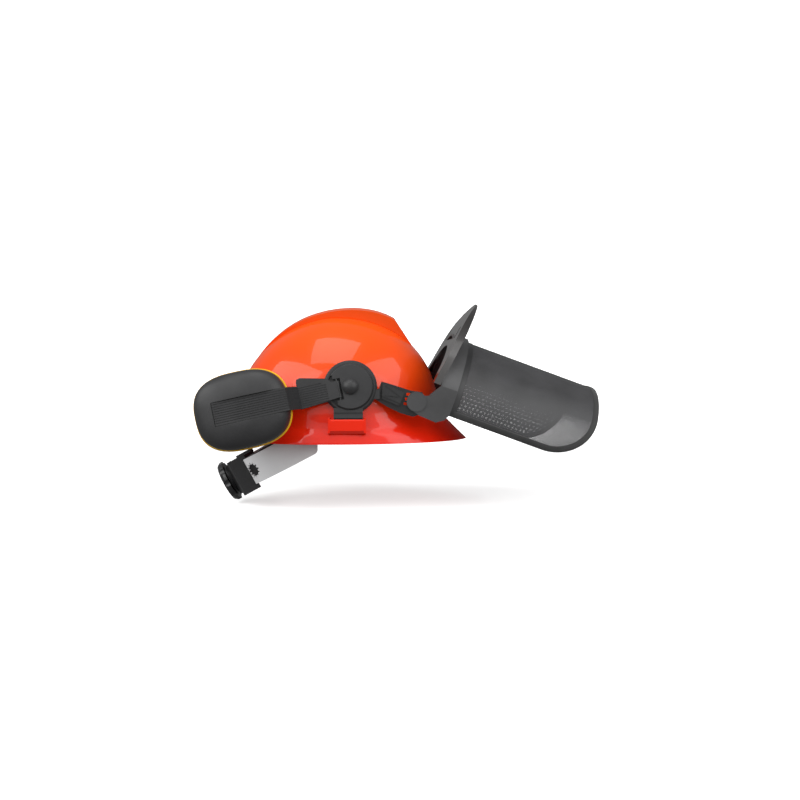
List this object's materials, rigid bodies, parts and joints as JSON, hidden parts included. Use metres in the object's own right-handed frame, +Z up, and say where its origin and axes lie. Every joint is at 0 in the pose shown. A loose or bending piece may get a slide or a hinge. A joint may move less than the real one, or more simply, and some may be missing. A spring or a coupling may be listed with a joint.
{
  "type": "hard hat",
  "caption": "Forestry hard hat with a crested peaked shell, flip-up mesh visor and brow guard, swing-arm ear muffs, and a headband with a nape ratchet.",
  "frame": {"origin": "head seat: middle of the headband, level with the shell's rim", "axes": "+X forward over the peak, +Y to the wearer's left, +Z up"},
  "size_m": [0.4648, 0.2866, 0.2364],
  "materials": {
    "shell_orange": "glossy moulded plastic, orange",
    "dark_plastic": "fine matte texture",
    "black_plastic": "satin black",
    "guard_black": "glossy black",
    "grey_strap": "satin grey",
    "yellow_plate": "yellow",
    "cushion_black": "soft vinyl skin",
    "foam_black": "open foam",
    "webbing": "woven webbing",
    "towel_pad": "soft sweatband",
    "mesh_wire": "black woven wire",
    "binding_grey": "dark edge binding",
    "steel": "plain steel"
  },
  "bodies": {
    "hat": {"shell": "shell_orange", "headband": "grey_strap", "brow_pad": "towel_pad", "headband_clips": "black_plastic", "harness_keys": "black_plastic", "crown_strap_a": "webbing", "crown_strap_b": "webbing", "strap_studs": "steel", "muff_adapter_right": "dark_plastic", "muff_adapter_left": "dark_plastic", "pivot_cap_right": "dark_plastic", "pivot_cap_left": "dark_plastic", "visor_carrier_right": "black_plastic", "visor_carrier_left": "black_plastic", "carrier_clip_right": "dark_plastic", "carrier_clip_left": "dark_plastic", "hinge_pin_right": "black_plastic", "hinge_pin_left": "black_plastic", "hinge_washer_right": "black_plastic", "hinge_washer_left": "black_plastic", "nape_strap_right": "grey_strap", "nape_strap_left": "grey_strap"},
    "nape": {"ratchet_housing": "black_plastic", "ratchet_cover": "black_plastic", "nape_pad": "towel_pad"},
    "knob": {"ratchet_knob": "black_plastic", "drive_pinion": "black_plastic"},
    "visor": {"visor_frame": "dark_plastic", "brow_guard": "guard_black", "mesh_header": "black_plastic", "mesh_binding": "binding_grey", "visor_mesh": "mesh_wire", "mesh_studs": "black_plastic"},
    "pivot_right": {"muff_disc_right": "dark_plastic", "arm_hinge_pin_right": "steel", "click_leaf_right": "steel"},
    "arm_right": {"muff_arm_right": "dark_plastic", "arm_plate_right": "dark_plastic"},
    "cup_right": {"cup_shell_right": "dark_plastic", "seal_plate_right": "yellow_plate", "ear_cushion_right": "cushion_black", "foam_liner_right": "foam_black"},
    "pivot_left": {"muff_disc_left": "dark_plastic", "arm_hinge_pin_left": "steel", "click_leaf_left": "steel"},
    "arm_left": {"muff_arm_left": "dark_plastic", "arm_plate_left": "dark_plastic"},
    "cup_left": {"cup_shell_left": "dark_plastic", "seal_plate_left": "yellow_plate", "ear_cushion_left": "cushion_black", "foam_liner_left": "foam_black"}
  },
  "joints": [
    {"name": "visor_lift", "type": "hinge", "parent": "hat", "child": "visor", "pos_m": [0.0887, 0, 0.0472], "axis": [0, -1, 0], "range_deg": [-70, 22]},
    {"name": "knob_turn", "type": "hinge", "parent": "nape", "child": "knob", "pos_m": [-0.10988, 0, -0.04112], "axis": [-0.8788, 0, -0.4772], "range_deg": [-46, 46]},
    {"name": "nape_slide", "type": "slide", "parent": "hat", "child": "nape", "axis": [-0.8788, 0, -0.4772], "range_m": [-0.005, 0.005], "deforming": ["nape_strap_right", "nape_strap_left"]},
    {"name": "muff_swing_right", "type": "hinge", "parent": "hat", "child": "pivot_right", "pos_m": [0.0155, -0.099, 0.063], "axis": [0, -0.9945, 0.1045], "range_deg": [-8, 84]},
    {"name": "arm_click_right", "type": "hinge", "parent": "pivot_right", "child": "arm_right", "pos_m": [0.00232, -0.10686, 0.06089], "axis": [-0.2164, 0.1021, 0.9709], "range_deg": [0, 30]},
    {"name": "cup_slide_right", "type": "slide", "parent": "arm_right", "child": "cup_right", "axis": [-0.9763, -0.0226, -0.2153], "range_m": [0, 0.012]},
    {"name": "muff_swing_left", "type": "hinge", "parent": "hat", "child": "pivot_left", "pos_m": [0.0155, 0.099, 0.063], "axis": [0, -0.9945, -0.1045], "range_deg": [-8, 84]},
    {"name": "arm_click_left", "type": "hinge", "parent": "pivot_left", "child": "arm_left", "pos_m": [0.00232, 0.10686, 0.06089], "axis": [0.2164, 0.1021, -0.9709], "range_deg": [0, 30]},
    {"name": "cup_slide_left", "type": "slide", "parent": "arm_left", "child": "cup_left", "axis": [-0.9763, 0.0226, -0.2153], "range_m": [0, 0.012]}
  ],
  "couplings": [
    {"joint": "knob_turn", "follows": "nape_slide", "rad_per_m": 160}
  ]
}
